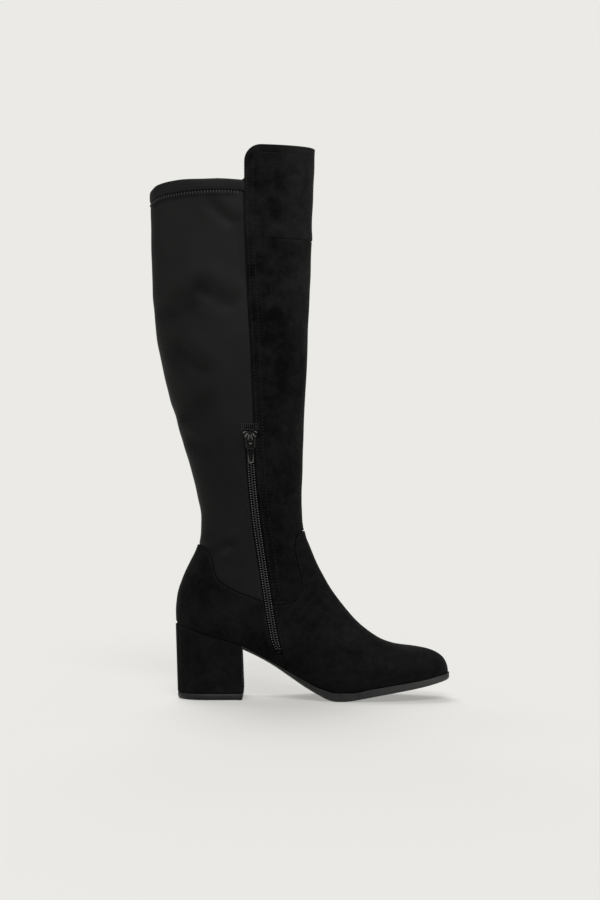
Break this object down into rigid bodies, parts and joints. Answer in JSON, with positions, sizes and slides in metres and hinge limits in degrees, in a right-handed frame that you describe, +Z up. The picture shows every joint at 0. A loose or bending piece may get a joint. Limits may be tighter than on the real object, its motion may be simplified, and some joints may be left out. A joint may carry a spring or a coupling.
{
  "type": "over-the-knee boot",
  "caption": "Over-the-knee boot for the left foot: suede front, stretch back with a folded hem, half zip on the inner side and a covered block heel.",
  "frame": {"origin": "middle of the heel tip's underside, on the floor", "axes": "+X towards the toe, +Y to the outer side of the leg, +Z up"},
  "size_m": [0.2835, 0.092, 0.5196],
  "materials": {
    "suede": "matt black suede",
    "stretch": "satin black stretch cloth",
    "lining": "matt black lining",
    "rubber": "matt charcoal rubber",
    "zip_tape": "woven black",
    "zip_metal": "gloss black"
  },
  "bodies": {
    "boot": {"upper": "lining", "vamp": "suede", "counter": "suede", "shaft_front": "suede", "shaft_back": "stretch", "collar_hem": "stretch", "zip_tape": "zip_tape", "zip_chain": "zip_tape", "zip_stop": "zip_metal", "zip_slider": "zip_metal", "outsole": "rubber", "insole": "lining", "heel_block": "suede", "heel_tip": "rubber"},
    "pull_tab": {"zip_pull": "zip_metal"}
  },
  "joints": [
    {"name": "pull_tab_hinge", "type": "hinge", "parent": "boot", "child": "pull_tab", "pos_m": [0.03861, -0.04022, 0.2435], "axis": [-0.9953, -0.0917, -0.0324], "range_deg": [0, 150]}
  ]
}
